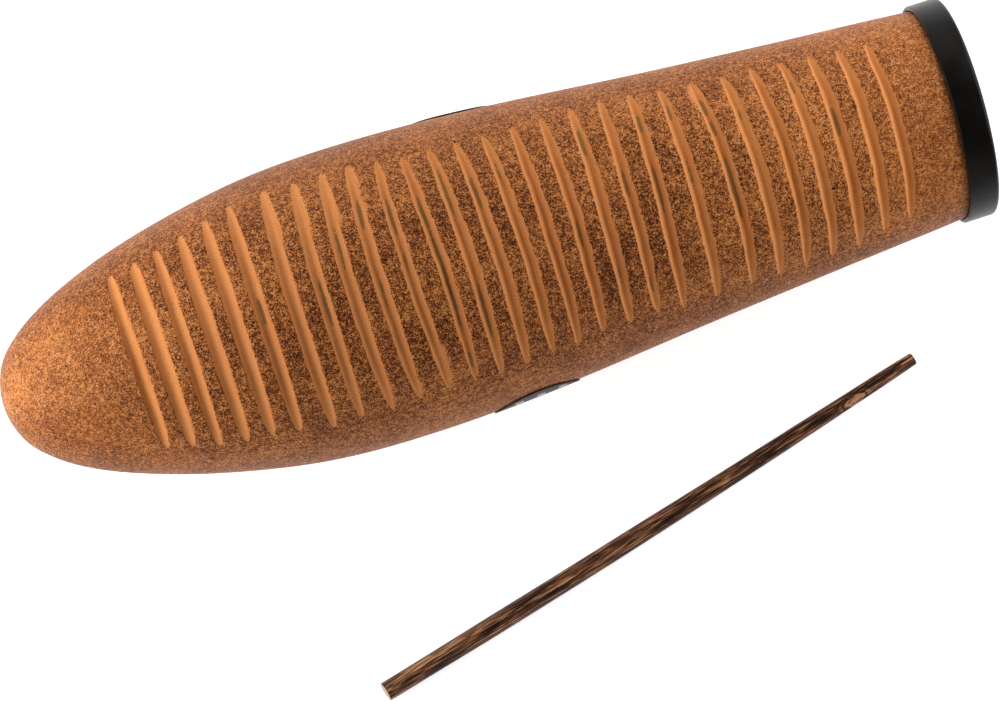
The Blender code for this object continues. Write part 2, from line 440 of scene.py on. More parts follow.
@dataclass(frozen=True)
class PrintedLabel:
    """Dark grey oval print with two rows of plain pale blocks and a thin pale ring between them."""

    ground: Colour = srgb(42, 37, 35)
    ink: Colour = srgb(186, 172, 166)
    pitch: float = 0.51
    phase: float = 0.10

    def build(self) -> bpy.types.Material:
        """Makes the material.

        Returns:
            The material, for a mesh with the attribute print (its place on the oval, -1 to 1).
        """
        sheet = NodeSheet("printed label")
        place = sheet.attribute("print", vector=True)
        x, y, _ = sheet.axes(place)
        radius = sheet.math("SQRT", sheet.plus(sheet.times(x, x), sheet.times(y, y)))
        away = sheet.math("ABSOLUTE", y)

        def band(value: Socket, low: float, high: float) -> Socket:
            """1 between two values."""
            inside = sheet.remap(value, low - 0.008, low + 0.008)
            return sheet.times(inside, sheet.remap(value, high - 0.008, high + 0.008, 1.0, 0.0))

        turns = sheet.math("MULTIPLY_ADD", x, 2 * math.pi / self.pitch, -2 * math.pi * self.phase)
        teeth = sheet.remap(sheet.math("COSINE", turns), 0.30, 0.42)
        rows = sheet.times(band(away, 0.38, 0.68), sheet.remap(radius, 0.86, 0.90, 1.0, 0.0))
        marks = sheet.math("MAXIMUM", sheet.times(rows, teeth), band(radius, 0.25, 0.28))
        grain = sheet.noise(900.0, 3.0, 0.6)
        worn = sheet.times(marks, sheet.remap(grain, 0.3, 0.45, 0.6, 1.0))
        colour = sheet.mix(worn, self.ground, self.ink)
        sheet.bump(grain, 0.00004, 0.3)
        return sheet.finish(colour, sheet.remap(grain, 0.3, 0.7, 0.52, 0.42), 0.09)


@dataclass(frozen=True)
class PalmWood:
    """Dark palm wood: near-black fibres between orange-brown ones, oiled to a satin."""

    black: Colour = srgb(26, 17, 12)
    brown: Colour = srgb(72, 44, 29)
    orange: Colour = srgb(132, 84, 53)
    tan: Colour = srgb(190, 142, 100)
    end_grain: Colour = srgb(192, 152, 124)
    knot_at: Pair = (0.227, -0.0014)
    knot_half: Pair = (0.0046, 0.0018)

    def build(self) -> bpy.types.Material:
        """Makes the material.

        Returns:
            The material, for a mesh with the attributes grain (place in the stick) and end.
        """
        sheet = NodeSheet("dark palm wood")
        place = sheet.attribute("grain", vector=True)
        fibres = sheet.noise(1.0, 2.0, 0.6, sheet.stretched(place, (3300.0, 3300.0, 80.0)), 0.7)
        bundles = sheet.noise(1.0, 3.0, 0.6, sheet.stretched(place, (1050.0, 1050.0, 36.0)), 1.1)
        patches = sheet.noise(1.0, 2.0, 0.5, sheet.stretched(place, (240.0, 240.0, 34.0)), 0.6)
        level = sheet.plus(sheet.times(fibres, 0.48), sheet.times(bundles, 0.32))
        level = sheet.plus(level, sheet.times(patches, 0.20))
        grain = sheet.math("MULTIPLY_ADD", level, 8.0, -3.64, clamp=True)
        knot = self.knot(sheet, place)
        arcs = sheet.math("SINE", sheet.times(knot, 9.0))
        beside = sheet.remap(knot, 1.0, 2.6, 0.30, 0.0)
        grain = sheet.plus(grain, sheet.times(arcs, beside))
        inside = sheet.remap(knot, 0.75, 1.05, 0.55, 0.0)
        grain = sheet.plus(grain, inside, clamp=True)
        shades = [(0.0, self.black), (0.40, self.brown), (0.76, self.orange), (1.0, self.tan)]
        colour = sheet.ramp(grain, shades)
        end = sheet.attribute("end")
        pores = sheet.noise(1.0, 2.0, 0.6, sheet.stretched(place, (2600.0, 2600.0, 300.0)))
        cut_end = sheet.mix(sheet.remap(pores, 0.5, 0.66), self.end_grain, self.orange)
        colour = sheet.mix(end, colour, cut_end)
        sheet.bump(sheet.plus(fibres, sheet.times(bundles, 0.6)), 0.00022, 0.6)
        return sheet.finish(colour, sheet.remap(bundles, 0.35, 0.65, 0.40, 0.54), 0.18)

    def knot(self, sheet: NodeSheet, place: Socket) -> Socket:
        """Distance from the pale knot near the thin end, 1 at its rim.

        Args:
            sheet: The material being made.
            place: The place in the stick: across, up and along.

        Returns:
            The distance.
        """
        across, up, along = sheet.axes(place)
        wavy = sheet.math("SUBTRACT", sheet.noise(320.0, 2.0, 0.5, place), 0.5)

        def part(axis: Socket, centre: float, half: float) -> Socket:
            """Squared distance along one axis."""
            away = sheet.math("SUBTRACT", axis, centre)
            return sheet.math("POWER", sheet.math("ABSOLUTE", sheet.math("DIVIDE", away, half)), 2.0)

        squares = [part(*values) for values in zip((along, across), self.knot_at, self.knot_half)]
        near = sheet.math("SQRT", sheet.plus(*squares))
        below = sheet.remap(up, -0.0002, 0.0006, 4.0, 0.0)
        return sheet.plus(sheet.math("MULTIPLY_ADD", wavy, 0.8, near), below)


@dataclass(frozen=True)
class PaleFloor:
    """Matt white studio floor."""

    colour: Colour = (0.72, 0.72, 0.72)
    glow: float = 0.70

    def build(self) -> bpy.types.Material:
        """Makes the material.

        Returns:
            The material.
        """
        sheet = NodeSheet("pale floor")
        sheet.shader.inputs["Emission Color"].default_value = (1.0, 1.0, 1.0, 1.0)
        sheet.shader.inputs["Emission Strength"].default_value = self.glow
        return sheet.finish(self.colour, 0.9, 0.1)


# ---- Mesh helpers ----


def profile_edges(bm: bmesh.types.BMesh, points: list[Pair]) -> list:
    """Lays a profile of (station, radius) points in the XZ plane, above the X axis.

    Args:
        bm: The mesh being made.
        points: Stations along X and radii along Z.

    Returns:
        The new vertices and edges.
    """
    verts = [bm.verts.new((s, 0.0, r)) for s, r in points]
    return verts + [bm.edges.new(pair) for pair in zip(verts, verts[1:])]


def turn_about_x(bm: bmesh.types.BMesh, geom: list, degrees: float, steps: int) -> list:
    """Spins geometry about the X axis.

    Args:
        bm: The mesh being made.
        geom: Vertices and edges to spin.
        degrees: Turn, positive from +Y to +Z.
        steps: Number of strips.

    Returns:
        The geometry at the end of the turn.
    """
    spun = bmesh.ops.spin(
        bm, geom=geom, cent=(0, 0, 0), axis=(1, 0, 0), angle=math.radians(degrees), steps=steps
    )
    return spun["geom_last"]


def close_up(bm: bmesh.types.BMesh, merge: float = 1e-6) -> None:
    """Merges the seam and poles and turns every face outwards.

    Args:
        bm: The mesh being made.
        merge: Points closer than this become one.
    """
    bmesh.ops.remove_doubles(bm, verts=bm.verts[:], dist=merge)
    bmesh.ops.dissolve_degenerate(bm, dist=merge, edges=bm.edges[:])
    bmesh.ops.recalc_face_normals(bm, faces=bm.faces[:])


def make_object(
    name: str,
    bm: bmesh.types.BMesh,
    materials: list[bpy.types.Material],
    sharp: float | None = 40.0,
) -> bpy.types.Object:
    """Turns a bmesh into a smooth-shaded object in the scene.

    Args:
        name: The piece's name.
        bm: The finished mesh, freed here.
        materials: Its material slots.
        sharp: Edges over this many degrees stay sharp. None keeps all smooth.

    Returns:
        The object.
    """
    mesh = bpy.data.meshes.new(name)
    bm.to_mesh(mesh)
    bm.free()
    for material in materials:
        mesh.materials.append(material)
    mesh.shade_smooth()
    if sharp is not None:
        mesh.set_sharp_from_angle(angle=math.radians(sharp))
    obj = bpy.data.objects.new(name, mesh)
    bpy.context.scene.collection.objects.link(obj)
    return obj


def points_of(mesh: bpy.types.Mesh) -> np.ndarray:
    """The mesh's vertex places.

    Args:
        mesh: The mesh.

    Returns:
        One row for each vertex.
    """
    flat = np.empty(len(mesh.vertices) * 3)
    mesh.vertices.foreach_get("co", flat)
    return flat.reshape(-1, 3)


def round_the_axis(side: np.ndarray, height: np.ndarray) -> tuple[np.ndarray, np.ndarray]:
    """Distance from the axis, and degrees from the top towards +Y."""
    return np.hypot(side, height), np.degrees(np.arctan2(side, height))


def store_numbers(mesh: bpy.types.Mesh, name: str, values: np.ndarray) -> None:
    """Stores one number or three on each vertex.

    Args:
        mesh: The mesh.
        name: The attribute's name.
        values: One row for each vertex.
    """
    vector = values.ndim == 2
    layer = mesh.attributes.new(name, "FLOAT_VECTOR" if vector else "FLOAT", "POINT")
    layer.data.foreach_set("vector" if vector else "value", values.astype(np.float32).ravel())


def rounded(
    corner: Pair,
    before: Pair,
    after: Pair,
    radius: float,
    steps: int = 5,
) -> list[Pair]:
    """Points of a rounded profile corner.

    Args:
        corner: The sharp corner.
        before: Direction from the corner back along the profile.
        after: Direction from the corner onwards.
        radius: Size of the rounding.
        steps: Number of short sides.

    Returns:
        The points, in the profile's order.
    """
    points = []
    for i in range(steps + 1):
        a = math.pi / 2 * i / steps
        back, on = radius * (1 - math.sin(a)), radius * (1 - math.cos(a))
        points.append(
            (corner[0] + before[0] * back + after[0] * on, corner[1] + before[1] * back + after[1] * on)
        )
    return points


# ---- The instrument's body ----


@dataclass
class GourdForm:
    """The turned form that the shell, ring and labels share, and how it lies."""

    nose: Triple = (-0.2033, 0.0486, 0.0723)
    tilt: float = math.radians(3.79)
    length: float = 0.3916
    wall: float = 0.0032
    swell: Knots = (
        (0.008, 0.0138), (0.03, 0.0243), (0.09, 0.0382), (0.18, 0.0500), (0.30, 0.0590),
        (0.42, 0.0607), (0.55, 0.0581), (0.70, 0.0527), (0.85, 0.0478), (1.00, 0.0432),
    )
    bow: float = 0.0007
    mouth_skew: float = 0.0333
    first_lean: float = -0.026
    last_lean: float = 0.045
    grooved: Pair = (0.055, 0.368)

    def seat(self) -> Matrix:
        """Places the body frame (X from nose to mouth, Z out of the grooves) as it lies."""
        return Matrix.Translation(self.nose) @ Matrix.Rotation(self.tilt, 4, "Y")

    def radius(self, station: np.ndarray) -> np.ndarray:
        """Outer radius at each distance from the nose.

        Args:
            station: Distances along the axis.

        Returns:
            The radii: round at the nose, swelling, then tapering to the mouth.
        """
        share = np.clip(np.asarray(station, float) / self.length, 0.0, 1.0)
        knots = np.array([k for k, _ in self.swell])
        full = np.array([r / math.sqrt(k) for k, r in self.swell])
        slope = np.empty(len(knots))
        slope[1:-1] = (full[2:] - full[:-2]) / (knots[2:] - knots[:-2])
        slope[0] = (full[1] - full[0]) / (knots[1] - knots[0])
        slope[-1] = (full[-1] - full[-2]) / (knots[-1] - knots[-2])
        i = np.clip(np.searchsorted(knots, share) - 1, 0, len(knots) - 2)
        span = knots[i + 1] - knots[i]
        u = np.maximum((share - knots[i]) / span, 0.0)
        value = (
            (2 * u**3 - 3 * u**2 + 1) * full[i]
            + (u**3 - 2 * u**2 + u) * span * slope[i]
            + (-2 * u**3 + 3 * u**2) * full[i + 1]
            + (u**3 - u**2) * span * slope[i + 1]
        )
        beyond = np.maximum(np.asarray(station, float) - self.length, 0.0)
        return np.sqrt(share) * value - 0.078 * beyond

    def skew(self, station: np.ndarray) -> np.ndarray:
        """Forward slant of a section per metre of +Y, following the grooves and the mouth."""
        knots = [0.0, *self.grooved, self.length - 0.012]
        return np.interp(station, knots, [0.0, self.first_lean, self.last_lean, self.mouth_skew])

    def sway(self, station: np.ndarray) -> np.ndarray:
        """Sideways offset of the axis: a slight bow, nose and mouth towards +Y.

        Args:
            station: Distances along the axis.

        Returns:
            The offsets.
        """
        t = 2 * np.clip(station / self.length, 0.0, 1.1) - 1
        tip = np.clip(1 - station / 0.03, 0.0, 1.0)
        return self.bow * (t * t - 0.36) + 0.0005 * tip * tip

    def lay(self, points: np.ndarray) -> np.ndarray:
        """Moves points of the straight turned form to where they really lie.

        Args:
            points: Rows of station, side and height in the body frame.

        Returns:
            The same points in the part's frame.
        """
        station = points[:, 0].copy()
        moved = points.copy()
        moved[:, 0] += self.skew(station) * points[:, 1]
        moved[:, 1] += self.sway(station)
        seat = np.array(self.seat())
        return moved @ seat[:3, :3].T + seat[:3, 3]

    def unlay(self, points: np.ndarray) -> np.ndarray:
        """The straight form's place of points that lie in the part's frame.

        Args:
            points: Rows of places in the part's frame.

        Returns:
            Rows of station, side and height.
        """
        seat = np.array(self.seat())
        straight = (points - seat[:3, 3]) @ seat[:3, :3]
        slanted = straight[:, 0].copy()
        station = slanted.copy()
        for _ in range(4):
            side = straight[:, 1] - self.sway(station)
            station = slanted - self.skew(station) * side
        return np.stack([station, straight[:, 1] - self.sway(station), straight[:, 2]], axis=1)

    def lay_mesh(self, obj: bpy.types.Object) -> None:
        """Moves an object's mesh from the straight form to where it lies.

        Args:
            obj: The object.
        """
        moved = self.lay(points_of(obj.data))
        obj.data.vertices.foreach_set("co", moved.ravel())
        obj.data.update()


@dataclass(frozen=True)
class SawSlip:
    """One groove's own errors: degrees at its ends and middle, shares of its size, and phases."""

    reach: float
    middle: float
    depth: float
    width: float
    phases: tuple[float, ...]

    @classmethod
    def draw(cls, chance: random.Random) -> "SawSlip":
        """Draws a groove's errors.

        Args:
            chance: The source of random numbers.

        Returns:
            The errors.
        """
        return cls(
            reach=chance.uniform(-0.6, 0.6),
            middle=chance.uniform(-0.4, 0.4),
            depth=chance.uniform(0.86, 1.08),
            width=chance.uniform(0.93, 1.07),
            phases=tuple(chance.uniform(0, 2 * math.pi) for _ in range(8)),
        )


@dataclass
class GrooveCutting:
    """The hand-sawn grooves: round-nosed cuts that run out at both ends."""

    form: GourdForm
    start_mm: float = 55.0
    gaps_mm: tuple[tuple[int, float], ...] = (
        (2, 10.0), (3, 10.5), (1, 13.0), (3, 11.5), (1, 12.0), (1, 13.0), (4, 11.0), (3, 11.5),
        (1, 12.0), (1, 14.0), (1, 15.0), (2, 12.0), (4, 11.5),
    )
    depth: float = 0.0021
    half_width: float = 0.0029
    middles: Knots = (
        (55, -1), (75, -3), (107, 0), (154, 0), (201, -3), (257, 0), (283, -3), (345, -8), (368, -5),
    )
    spans: Knots = (
        (55, 52), (120, 55), (179, 51), (223, 51), (269, 56), (334, 58), (368, 53),
    )
    leans: Knots = (
        (55, -1), (100, -0.5), (131, 1), (180, -1), (212, -0.5), (269, 3), (298, -0.5), (368, 2),
    )
    arches: Knots = (
        (55, 3), (107, 3), (142, 7), (166, 6), (180, -1), (235, 0), (257, 3), (298, -4), (368, -4),
    )
    slits: tuple[tuple[int, float, float, float], ...] = (
        (5, 2, 9, 0.7), (7, -2, 12, 0.8), (8, 16, 12, 0.7), (10, 22, 10, 0.8), (10, 4, 9, 0.6),
        (9, 27, 8, 0.9), (9, -4, 10, 0.6), (11, 20, 9, 0.9), (11, -8, 26, 0.8), (11, -42, 5, 1.0),
        (12, 26, 15, 0.7), (12, -24, 14, 0.8), (13, 22, 9, 0.9), (13, 4, 9, 0.5), (14, 28, 7, 0.6),
        (16, -6, 8, 0.7), (17, 32, 9, 0.9), (17, -28, 7, 0.6), (18, 8, 8, 0.8), (18, -38, 5, 0.7),
        (19, 34, 6, 0.9), (19, 2, 13, 0.8), (20, 36, 6, 0.8), (20, 4, 10, 0.6), (21, 34, 6, 1.0),
        (21, 22, 5, 0.9), (21, -8, 17, 1.0), (22, 24, 5, 0.6), (24, 32, 6, 0.7), (25, 8, 9, 1.0),
    )
    window: float = 0.0056
    cut_sector: float = 75.0
    seed: int = 28

    def __post_init__(self) -> None:
        """Places the grooves and draws each one's own small errors."""
        gaps = [gap for count, gap in self.gaps_mm for _ in range(count)]
        self.stations_mm = [self.start_mm + sum(gaps[:i]) for i in range(len(gaps) + 1)]
        chance = random.Random(self.seed)
        self.slips = [SawSlip.draw(chance) for _ in self.stations_mm]

    def wandering(self, knots: Knots, station_mm: float) -> float:
        """A hand-cut value that drifts along the body, in degrees.

        Args:
            knots: Stations in millimetres and the value there.
            station_mm: Where it is wanted.

        Returns:
            The value between its nearest knots.
        """
        return float(np.interp(station_mm, [k for k, _ in knots], [v for _, v in knots]))

    def rows(self) -> list[float]:
        """Stations of the skin's rings round each groove."""
        offsets = (-1.3, -1.1, -1.0, -0.9, -0.76, -0.6, -0.42, -0.22, 0.0, 0.24, 0.48, 0.7, 0.88, 1.0, 1.14)
        return [s * MM + o * self.half_width for s in self.stations_mm for o in offsets]

    def carve(self, station: np.ndarray, angle: np.ndarray) -> dict[str, np.ndarray]:
        """How the grooves change the skin at each point.

        Args:
            station: Distance from the nose, on the straight form.
            angle: Degrees from the top towards +Y.

        Returns:
            depth in metres, cut (0 on the skin, 1 at full depth), floor (weight of painted shade in the
            cut) and slit (where the laminate shows).
        """
        result = {key: np.zeros(len(station)) for key in ("depth", "cut", "floor", "slit")}
        for index, centre_mm in enumerate(self.stations_mm):
            near = np.abs(station - centre_mm * MM) < self.window
            near &= np.abs(angle) < self.cut_sector
            if not near.any():
                continue
            for key, values in self.one_groove(index, station[near], angle[near]).items():
                result[key][near] = np.maximum(result[key][near], values)
        return result

    def one_groove(self, index: int, s: np.ndarray, a: np.ndarray) -> dict[str, np.ndarray]:
        """The same four measures for one groove, at points near it.

        Args:
            index: The groove's number from the nose.
            s: Stations of the points.
            a: Their angles in degrees.

        Returns:
            depth, cut, floor and slit.
        """
        centre_mm, slip = self.stations_mm[index], self.slips[index]
        phases = slip.phases
        # 0 for the round cuts near the nose, 1 for the lopsided, ragged ones after them
        late = float(smoothstep(0.22, 0.42, np.array(index / (len(self.stations_mm) - 1))))
        middle = self.wandering(self.middles, centre_mm) + slip.middle
        reach = self.wandering(self.spans, centre_mm) + slip.reach
        arc = np.radians(a - middle)
        run = 1 - (1 - np.cos(arc)) / (1 - math.cos(math.radians(reach)))
        ripple = 0.015 * np.sin(a / 3.1 + phases[0])
        run = np.clip(run + ripple + 0.01 * np.sin(a / 1.3 + phases[1]), 0.0, 1.2)
        deep = np.minimum(run, 1.0) ** 0.5 * self.depth * slip.depth
        half = self.half_width * slip.width * np.minimum(run, 1.0) ** 0.24
        half *= 1 + 0.03 * np.sin(a / 4.2 + phases[5]) + 0.015 * np.sin(a / 1.7 + phases[6])
        wander = self.wander(centre_mm, late, phases, s, a)
        x = (s - centre_mm * MM - wander) / np.maximum(half, 1e-5)
        ragged = 0.07 * np.sin(a / 2.3 + phases[7]) + 0.05 * np.sin(a / 0.9 + phases[6])
        x = np.where(x > 0, x * (1 + late * ragged), x)
        # the deepest line moves towards the nose side from round to lopsided cuts
        low = -0.10 - 0.24 * late
        left = np.abs((x - low) / (1 + low))
        right = np.abs((x - low) / (1 - low))
        shape = np.where(x < low, 1 - left ** (2.0 - 0.75 * late), 1 - right ** (2.0 - 0.8 * late))
        shape = np.clip(shape, 0.0, 1.0)
        cut = deep * shape
        # painted shade in the bare cut: round cuts get painted shade at both edges; lopsided ones get
        # little on their steep wall, which reads as lit, and more over the floor
        edges = 0.8 * smoothstep(0.45, 1.0, -x) + 1.0 * smoothstep(0.25, 1.0, x)
        floor = (1 - late) * (0.04 + edges) + late * np.where(x < low, 0.30, 0.62 - 0.15 * right)
        floor = floor * (shape > 0)
        strength = np.zeros(len(s))
        for _, at, long, full in (slit for slit in self.slits if slit[0] == index):
            strength = np.maximum(strength, full * np.clip(1 - ((a - at) / long) ** 2, 0, 1) ** 0.5)
        slit = strength * np.clip(1 - np.abs(x - low - 0.20) / 0.55, 0, 1)
        return {"depth": cut, "cut": cut / self.depth, "floor": np.clip(floor, 0, 1), "slit": slit}

    def wander(
        self, centre_mm: float, late: float, phases: tuple[float, ...], s: np.ndarray, a: np.ndarray
    ) -> np.ndarray:
        """How far a groove's middle line lies towards the mouth: its lean, its bend and the saw's shake.

        Args:
            centre_mm: The groove's station.
            late: 0 for a round cut, 1 for a lopsided one.
            phases: The groove's own phases.
            s: Stations of the points.
            a: Their angles in degrees.

        Returns:
            Distances in metres.
        """
        lean = math.tan(math.radians(self.wandering(self.leans, centre_mm)))
        arch = math.tan(math.radians(self.wandering(self.arches, centre_mm)))
        side = self.form.radius(s) * np.sin(np.radians(a))
        fall = self.form.radius(s) * (1 - np.cos(np.radians(a)))
        shake = (
            0.14 * np.sin(a / 17 + phases[2])
            + (0.05 + 0.06 * late) * np.sin(a / 6.5 + phases[3])
            + (0.02 + 0.03 * late) * np.sin(a / 2.6 + phases[4])
        ) * MM
        return shake + (lean - self.form.skew(s)) * side + arch * fall


@dataclass
class Shell:
    """Moulded shell: grooved outer skin, cavity wall, rim and two grip holes."""

    form: GourdForm
    grooves: GrooveCutting
    sector: float = 126.0
    sector_steps: int = 104
    back_steps: int = 40
    nose_end: float = 0.050
    nose_rings: int = 26
    plain_from: float = 0.3730
    plain_rings: int = 8
    least_gap: float = 0.00022
    rim_seat: float = 0.0093
    grip_radius: float = 0.013
    grip_stations: Pair = (0.158, 0.250)

    def stations(self) -> list[float]:
        """Places the rings of the outer skin.

        Returns:
            Their stations.
        """
        end = self.form.length + self.rim_seat
        nose = [self.nose_end * (i / self.nose_rings) ** 1.9 for i in range(self.nose_rings + 1)]
        grooves = self.grooves.stations_mm
        lands = [(a + b) / 2 * MM for a, b in zip(grooves, grooves[1:])]
        rest = list(np.linspace(self.plain_from, end - 0.0003, self.plain_rings))
        merged: list[float] = []
        for station in sorted([*nose, *self.grooves.rows(), *lands, *rest]):
            if not merged or station - merged[-1] > self.least_gap or station < 0.0005:
                merged.append(station)
        return merged

    def profile(self) -> list[Pair]:
        """The section, from the nose over the rim and back along the cavity.

        Returns:
            Points of station and radius.
        """
        stations = np.array(self.stations())
        outer = list(zip(stations.tolist(), self.form.radius(stations).tolist()))
        end = self.form.length + self.rim_seat
        thick = self.form.wall
        inner_stations = 0.0038 + (end - 0.0041) * np.linspace(0, 1, 26) ** 1.3
        inner_radii = np.maximum(self.form.radius(inner_stations) - thick, 0.0)
        inner_radii[0] = 0.0
        inner = list(zip(inner_stations.tolist(), inner_radii.tolist()))[::-1]
        rim = [(end, outer[-1][1] - 0.0005), (end, inner[0][1] + 0.0004)]
        return outer + rim + inner

    def turned(self) -> bmesh.types.BMesh:
        """The plain turned form, with narrow strips across the grooved side.

        Returns:
            The mesh in the straight body frame.
        """
        bm = bmesh.new()
        start = profile_edges(bm, self.profile())
        first_side = Matrix.Rotation(-math.radians(self.sector / 2), 3, "X")
        bmesh.ops.rotate(bm, verts=bm.verts[:], cent=(0, 0, 0), matrix=first_side)
        edge = turn_about_x(bm, start, self.sector, self.sector_steps)
        turn_about_x(bm, edge, 360 - self.sector, self.back_steps)
        close_up(bm, 2e-6)
        return bm

    def carve(self, obj: bpy.types.Object) -> None:
        """Presses the grooves into the outer skin and lays the shell down.

        Args:
            obj: The turned shell.
        """
        points = points_of(obj.data)
        station, side, height = points.T
        radius, angle = round_the_axis(side, height)
        outside = radius > self.form.radius(station) - 0.4 * self.form.wall
        cut = self.grooves.carve(station, angle)["depth"] * outside
        keep = (radius - cut) / np.maximum(radius, 1e-9)
        points[:, 1] *= keep
        points[:, 2] *= keep
        obj.data.vertices.foreach_set("co", points.ravel())
        self.form.lay_mesh(obj)

    def grip_cutter(self) -> bpy.types.Object:
        """Two round punches with a flared outer end, which rounds the holes' edges.

        Returns:
            The cutter, to be removed after the cut.
        """
        bm = bmesh.new()
        r, flare = self.grip_radius, 0.0011
        steps = [(-0.012, 0.0), (-0.012, r), (-0.0016, r)]
        steps += [(-0.0016 + flare * math.sin(a), r + flare * (1 - math.cos(a))) for a in (0.5, 1.0, 1.4)]
        steps += [(0.006, r + 0.0085), (0.006, 0.0)]
        for station in self.grip_stations:
            geom = profile_edges(bm, steps)
            turn_about_x(bm, geom, 360, 64)
            fresh = [v for v in bm.verts if not v.tag]
            down = Matrix.Translation((station, 0, -float(self.form.radius(station))))
            bmesh.ops.transform(bm, matrix=down @ Matrix.Rotation(math.pi / 2, 4, "Y"), verts=fresh)
            for vert in fresh:
                vert.tag = True
        close_up(bm)
        bmesh.ops.transform(bm, matrix=self.form.seat(), verts=bm.verts[:])
        return make_object("grip_punch", bm, [])

    def punch(self, obj: bpy.types.Object) -> None:
        """Cuts the grip holes through the belly.

        Args:
            obj: The shell, lying in its place.
        """
        cutter = self.grip_cutter()
        boolean = obj.modifiers.new("grips", "BOOLEAN")
        boolean.operation = "DIFFERENCE"
        boolean.solver = "EXACT"
        boolean.object = cutter
        graph = bpy.context.evaluated_depsgraph_get()
        mesh = bpy.data.meshes.new_from_object(obj.evaluated_get(graph))
        obj.modifiers.clear()
        plain, obj.data = obj.data, mesh
        mesh.name = obj.name
        bpy.data.meshes.remove(plain)
        bpy.data.objects.remove(cutter, do_unlink=True)

    def paint_guides(self, obj: bpy.types.Object) -> None:
        """Stores on each vertex the cuts, slits, speckle density, painted shade in the cuts and painted
        light and shade over the shell.

        Args:
            obj: The finished shape of the shell.
        """
        mesh = obj.data
        place = self.form.unlay(points_of(mesh))
        station, side, height = place.T
        radius, angle = round_the_axis(side, height)
        carved = self.grooves.carve(station, angle)
        skin = radius > self.form.radius(station) - carved["depth"] - 0.3 * self.form.wall
        # floor carries the painted shade in the cuts
        for name in ("cut", "floor", "slit"):
            store_numbers(mesh, name, carved[name] * skin)
        # painted light and shade over the whole shell
        store_numbers(mesh, "painted_shading", self.painted_shading(station, angle))
        ribs = smoothstep(0.03, 0.09, station) * (1 - smoothstep(0.33, 0.39, station))
        store_numbers(mesh, "dense", ribs * np.exp(-(((angle + 8) / 58) ** 4)))
        self.assign_laminate(mesh, place, skin)

    def painted_shading(self, station: np.ndarray, angle: np.ndarray) -> np.ndarray:
        """Painted light and shade on the sprayed speckle, -1 to 1, over the shell.

        Args:
            station: Distance from the nose.
            angle: Degrees from the top towards +Y.

        Returns:
            Painted light and shade: paler at the nose and mouth, with a painted highlight over the top of
                the nose, and painted shade darkest over the lower middle of the ribs and along the lower -Y
                side towards the mouth.
        """
        tip = 1 - smoothstep(0.02, 0.075, station)
        mouth = smoothstep(0.26, 0.36, station)
        ribs = smoothstep(0.04, 0.10, station) * (1 - smoothstep(0.26, 0.34, station))
        low = np.exp(-(((angle + 22) / 42) ** 2))
        edge = smoothstep(0.20, 0.30, station) * smoothstep(48, 75, -angle)
        crown = np.exp(-(((angle - 12) / 36) ** 2))
        return tip * (1.35 * crown - 0.3) + 0.25 * mouth - 0.35 * ribs * low - 0.5 * edge

    def assign_laminate(self, mesh: bpy.types.Mesh, place: np.ndarray, skin: np.ndarray) -> None:
        """Gives the bare-laminate slot to faces that aren't outer skin.

        Args:
            mesh: The shell's mesh.
            place: Straight-form places of its vertices.
            skin: True for each vertex on the outer skin.
        """
        end = self.form.length + self.rim_seat
        for polygon in mesh.polygons:
            corners = list(polygon.vertices)
            bare = not all(skin[i] for i in corners)
            middle = place[corners].mean(axis=0)
            if not bare and middle[2] < 0:
                for station in self.grip_stations:
                    across = math.hypot(middle[0] - station, middle[1])
                    bare |= across < self.grip_radius + 0.0004
            polygon.material_index = 1 if bare or middle[0] > end - 0.0002 else 0

    def build(self) -> bpy.types.Object:
        """Makes the shell.

        Returns:
            The finished piece.
        """
        finishes = [SpeckledGelCoat().build(), RawLaminate().build()]
        shell = make_object("gourd_shell", self.turned(), finishes, None)
        self.carve(shell)
        self.punch(shell)
        self.paint_guides(shell)
        shell.data.shade_smooth()
        shell.data.set_sharp_from_angle(angle=math.radians(55))
        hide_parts("shell")
        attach(shell, Body.GUIRO.value)
        return shell


@dataclass
class RimRing:
    """Black plastic ring of U section pressed over the mouth."""

    form: GourdForm
    width: float = 0.0126
    outer: float = 0.0452
    web: float = 0.0030
    lip: float = 0.0369

    def profile(self) -> list[Pair]:
        """The section, from the inner skirt over the end web to the outer skirt and back inside.

        Returns:
            Points of station and radius.
        """
        start, end = self.form.length, self.form.length + self.width
        seat = end - self.web
        over = float(self.form.radius(start)) + 0.0005
        over_end = float(self.form.radius(seat)) + 0.0004
        inside = float(self.form.radius(seat)) - self.form.wall - 0.0006
        points = [(start + 0.0038, self.lip)]
        points += rounded((end, self.lip), (-1, 0), (0, 1), 0.0010)
        points += rounded((end, self.outer), (0, -1), (-1, 0), 0.0016, 7)
        points += rounded((start, self.outer), (1, 0), (0, -1), 0.0008)
        points += [(start, over), (seat, over_end), (seat, inside), (start + 0.0038, inside)]
        return points

    def build(self) -> bpy.types.Object:
        """Makes the ring.

        Returns:
            The finished piece.
        """
        bm = bmesh.new()
        points = self.profile()
        geom = profile_edges(bm, [*points, points[0]])
        turn_about_x(bm, geom, 360, 144)
        close_up(bm)
        ring = make_object("mouth_ring", bm, [BlackPlastic().build()])
        self.form.lay_mesh(ring)
        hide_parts("rim_ring")
        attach(ring, Body.GUIRO.value)
        return ring


